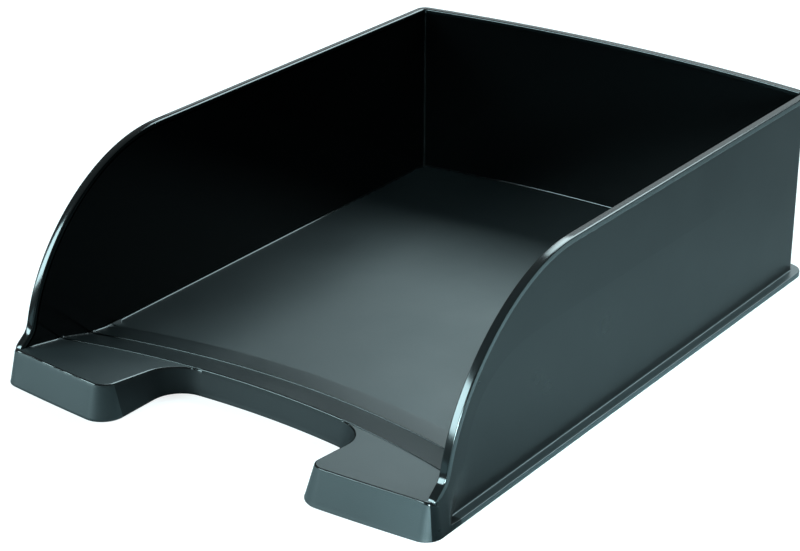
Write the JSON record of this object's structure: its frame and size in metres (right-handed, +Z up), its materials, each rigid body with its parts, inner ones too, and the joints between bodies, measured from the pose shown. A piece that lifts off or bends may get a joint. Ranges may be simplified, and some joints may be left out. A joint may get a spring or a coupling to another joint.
{
  "type": "letter tray",
  "caption": "Extra-high open-front desk letter tray with swept side walls, a beaded rim, a bowed back, a ramped floor and a grip cut-out in the front edge.",
  "frame": {"origin": "on the table under the middle of the tray's box", "axes": "+X to the right seen from the open front, +Y to the rear wall, +Z up"},
  "size_m": [0.255, 0.36, 0.103],
  "materials": {
    "textured_plastic": "fine spark-eroded texture, black polystyrene",
    "wall_plastic": "smooth satin black polystyrene, glossier inside",
    "bead_plastic": "polished black polystyrene edge"
  },
  "bodies": {
    "root": {"floor_panel": "textured_plastic", "ramp_lower": "wall_plastic", "ramp_upper": "wall_plastic", "grip_rear_skirt": "textured_plastic", "rear_wall": "wall_plastic", "rear_rim_bead": "bead_plastic", "rear_base_rail": "wall_plastic", "right_front_shelf": "textured_plastic", "left_front_shelf": "textured_plastic", "right_front_fascia": "textured_plastic", "left_front_fascia": "textured_plastic", "right_grip_return": "textured_plastic", "left_grip_return": "textured_plastic", "right_side_wall": "wall_plastic", "left_side_wall": "wall_plastic", "right_rear_corner": "wall_plastic", "left_rear_corner": "wall_plastic", "right_front_edge_bead": "bead_plastic", "left_front_edge_bead": "bead_plastic", "right_rim_bead": "bead_plastic", "left_rim_bead": "bead_plastic", "right_rear_rim_corner": "bead_plastic", "left_rear_rim_corner": "bead_plastic", "right_base_rail": "wall_plastic", "left_base_rail": "wall_plastic", "right_rear_base_corner": "wall_plastic", "left_rear_base_corner": "wall_plastic"}
  },
  "joints": []
}
